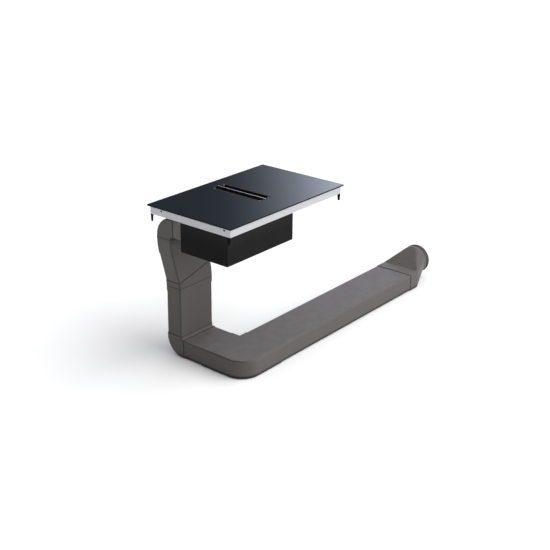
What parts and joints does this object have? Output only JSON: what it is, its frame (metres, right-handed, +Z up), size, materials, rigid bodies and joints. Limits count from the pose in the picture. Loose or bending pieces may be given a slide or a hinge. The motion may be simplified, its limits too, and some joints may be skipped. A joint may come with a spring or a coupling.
{
  "type": "downdraft vent",
  "caption": "Black glass hob with a slot vent in its middle, a lift-out filter insert, a fan housing under the tray and a flat duct run to a round outlet.",
  "frame": {"origin": "bottom centre of the whole part, on the floor", "axes": "+X along the floor duct towards the round outlet, +Y to the back of the hob, +Z up"},
  "size_m": [1.702, 0.5304, 0.7705],
  "materials": {
    "black_glass": "polished black ceramic glass",
    "black_foam": "closed-cell foam tape",
    "tray_steel": "bright folded sheet",
    "black_steel": "black coated spring steel",
    "screw_steel": "zinc plated",
    "plate_aluminium": "mill finish",
    "light_plastic": "glass-filled moulding",
    "copper_wire": "enamelled litz wire",
    "circuit_board": "lacquered board",
    "black_plastic": "fine grained black moulding",
    "frame_plastic": "satin black frame",
    "bright_pads": "polished",
    "bar_aluminium": "brushed and anodised",
    "filter_steel": "satin",
    "mesh_aluminium": "expanded mesh",
    "housing_plastic": "satin black moulding",
    "grey_plastic": "glass-filled grey moulding",
    "motor_steel": "plated can",
    "duct_plastic": "dark warm grey moulding",
    "black_rubber": "moulded lip seal"
  },
  "bodies": {
    "root": {"glass_top": "black_glass", "edge_seal": "black_foam", "steel_tray": "tray_steel", "hold_down_clips": "black_steel", "housing_screws": "screw_steel", "coil_plate": "plate_aluminium", "plate_pillars": "plate_aluminium", "touch_carrier": "light_plastic", "touch_board": "circuit_board", "terminal_box": "black_plastic", "cable_gland": "black_plastic", "inlet_funnel": "black_plastic", "inlet_frame": "frame_plastic", "rest_pads": "bright_pads", "housing_pan": "housing_plastic", "housing_lid": "housing_plastic", "fan_scroll": "grey_plastic", "inlet_ring": "grey_plastic", "motor": "motor_steel", "motor_plate": "motor_steel", "outlet_spigot": "black_plastic", "flap_pin": "screw_steel", "top_bend": "duct_plastic", "bend_connector": "duct_plastic", "upper_offset_elbow": "duct_plastic", "offset_duct": "duct_plastic", "lower_offset_elbow": "duct_plastic", "riser_duct": "duct_plastic", "lower_bend": "duct_plastic", "side_duct": "duct_plastic", "corner_bend": "duct_plastic", "long_duct": "duct_plastic", "outlet_adapter": "duct_plastic", "outlet_seal_ring": "black_rubber", "coil_former_front_left": "light_plastic", "coil_winding_front_left": "copper_wire", "coil_former_back_left": "light_plastic", "coil_winding_back_left": "copper_wire", "coil_former_front_right": "light_plastic", "coil_winding_front_right": "copper_wire", "coil_former_back_right": "light_plastic", "coil_winding_back_right": "copper_wire", "power_board_left": "circuit_board", "heat_sink_left": "plate_aluminium", "cooling_fan_frame_left": "black_plastic", "power_board_right": "circuit_board", "heat_sink_right": "plate_aluminium", "cooling_fan_frame_right": "black_plastic"},
    "impeller": {"impeller": "grey_plastic", "motor_shaft": "screw_steel"},
    "filter_insert": {"handle_bar": "bar_aluminium", "filter_cage": "black_plastic"},
    "left_filter": {"filter_frame_left": "filter_steel", "filter_mesh_left": "mesh_aluminium"},
    "right_filter": {"filter_frame_right": "filter_steel", "filter_mesh_right": "mesh_aluminium"},
    "drip_pan": {"drip_pan": "black_plastic"},
    "backdraft_flap": {"backdraft_flap": "grey_plastic"},
    "left_cooling_rotor": {"cooling_fan_rotor_left": "black_plastic"},
    "right_cooling_rotor": {"cooling_fan_rotor_right": "black_plastic"}
  },
  "joints": [
    {"name": "impeller_spin", "type": "hinge", "parent": "root", "child": "impeller", "pos_m": [-0.68381, -0.07775, 0.655], "axis": [0, 0, 1], "continuous": true},
    {"name": "insert_lift", "type": "slide", "parent": "root", "child": "filter_insert", "axis": [0, 0, 1], "range_m": [0, 0.12]},
    {"name": "left_filter_lift", "type": "slide", "parent": "filter_insert", "child": "left_filter", "axis": [0, 0, 1], "range_m": [0, 0.1]},
    {"name": "right_filter_lift", "type": "slide", "parent": "filter_insert", "child": "right_filter", "axis": [0, 0, 1], "range_m": [0, 0.1]},
    {"name": "drip_pan_drop", "type": "slide", "parent": "filter_insert", "child": "drip_pan", "axis": [0, 0, -1], "range_m": [0, 0.05]},
    {"name": "flap_swing", "type": "hinge", "parent": "root", "child": "backdraft_flap", "pos_m": [-0.7196, 0.08025, 0.712], "axis": [1, 0, 0], "range_deg": [0, 75]},
    {"name": "left_cooling_spin", "type": "hinge", "parent": "root", "child": "left_cooling_rotor", "pos_m": [-0.554, 0.15525, 0.735], "axis": [0, 0, 1], "continuous": true},
    {"name": "right_cooling_spin", "type": "hinge", "parent": "root", "child": "right_cooling_rotor", "pos_m": [-0.318, 0.15525, 0.735], "axis": [0, 0, 1], "continuous": true}
  ]
}
